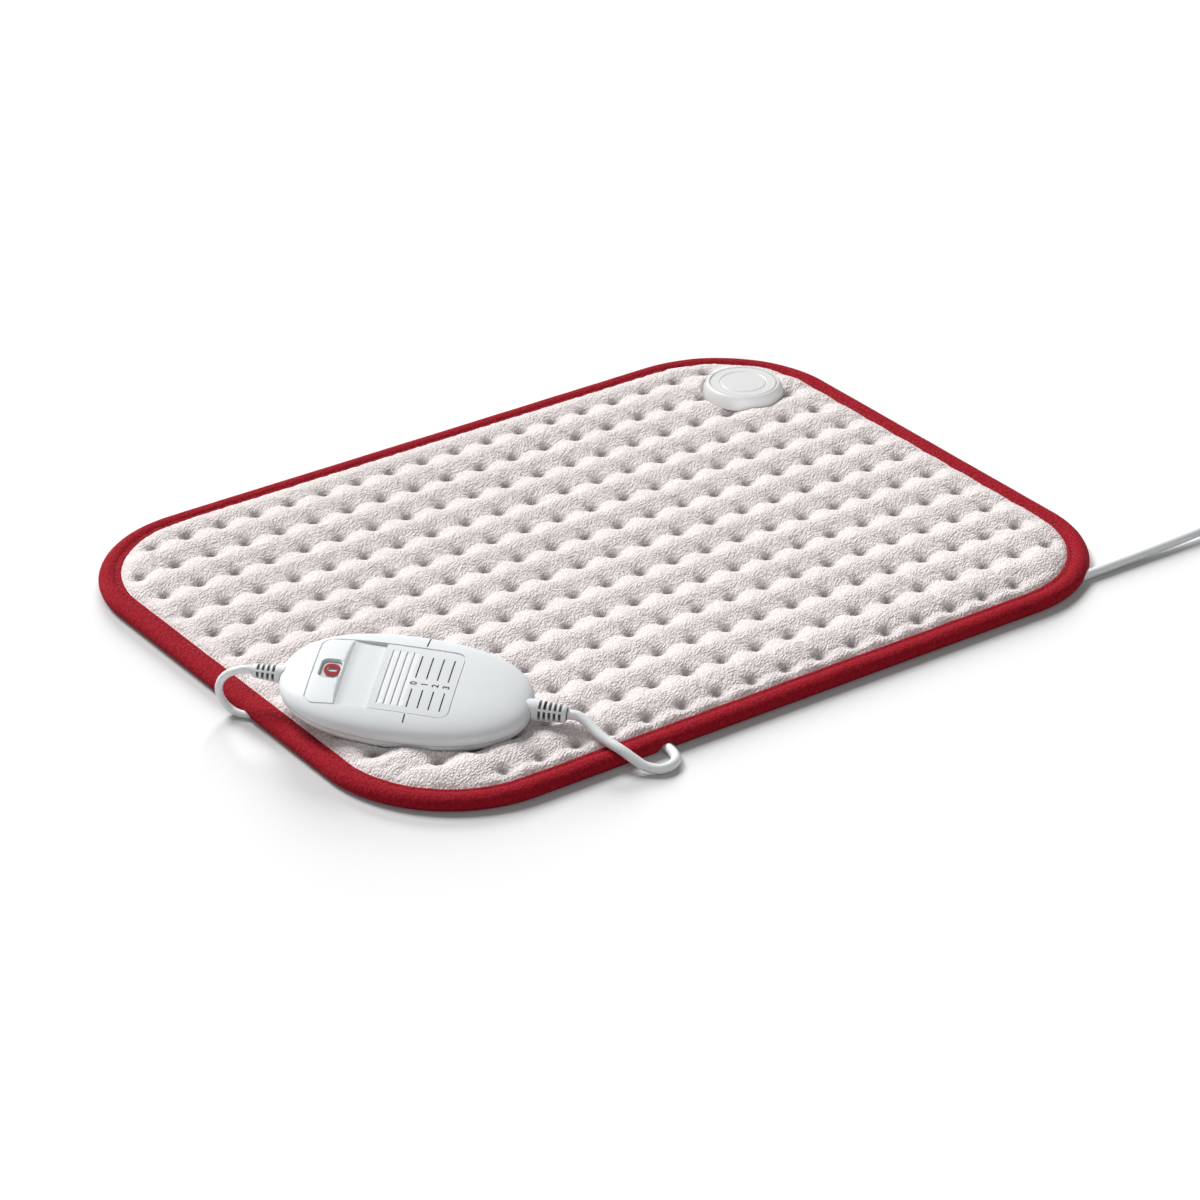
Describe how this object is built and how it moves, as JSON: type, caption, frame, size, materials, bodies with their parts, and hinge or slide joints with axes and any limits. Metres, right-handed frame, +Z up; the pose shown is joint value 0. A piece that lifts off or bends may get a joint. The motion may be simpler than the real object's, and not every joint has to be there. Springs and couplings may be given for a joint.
{
  "type": "heating pad with controller",
  "caption": "Flat quilted fleece heating pad with rounded corners, a bound edge, a round plug-in coupling and a pebble-shaped slide controller on a mains lead.",
  "frame": {"origin": "middle of the pad's flat underside, on the floor", "axes": "+X along the pad's longer side towards the corner with the coupling, +Y along its shorter side away from the controller, +Z up"},
  "size_m": [0.6075, 0.3894, 0.0344],
  "materials": {
    "fleece": "short tousled pile",
    "under_cloth": "plain woven cloth",
    "binding": "brushed velour",
    "carrier": "thin felt",
    "wire": "satin",
    "white_plastic": "satin moulded",
    "sleeve": "satin",
    "cord": "satin",
    "lens": "clear",
    "board": "lacquered",
    "dark_plastic": "matte",
    "brass": "satin",
    "steel": "brushed"
  },
  "bodies": {
    "pad": {"pad_top_cover": "fleece", "pad_bottom_cover": "under_cloth", "edge_binding": "binding", "heater_carrier": "carrier", "heating_wire": "wire", "coupling_base": "white_plastic", "coupling_clamp_ring": "white_plastic", "coupling_cap": "white_plastic", "coupling_top_disc": "white_plastic", "controller_top_shell": "white_plastic", "controller_bottom_shell": "white_plastic", "plug_body": "white_plastic", "bend_relief_mains": "sleeve", "bend_relief_pad": "sleeve", "plug_relief": "sleeve", "pad_lead": "cord", "mains_lead": "cord", "mains_coil": "cord", "mains_tail": "cord", "indicator_lens": "lens", "indicator_lamp": "lens", "fuse": "lens", "circuit_board": "board", "pad_thermal_fuse": "dark_plastic", "capacitor": "dark_plastic", "thyristor": "dark_plastic", "terminal_block_pad": "dark_plastic", "terminal_block_mains": "dark_plastic", "coil_tie": "dark_plastic", "coupling_pin_1": "brass", "coupling_pin_2": "brass", "contact_track_1": "brass", "contact_track_2": "brass", "shell_screw_1": "steel", "shell_screw_2": "steel", "shell_screw_3": "steel", "shell_screw_4": "steel", "plug_pin_1": "steel", "plug_pin_2": "steel"},
    "slider": {"slider": "white_plastic", "contact_bridge": "brass", "detent_spring": "steel"}
  },
  "joints": [
    {"name": "heat_slide", "type": "slide", "parent": "pad", "child": "slider", "axis": [-0.6899, 0.722, 0.0523], "range_m": [0, 0.01551]}
  ]
}
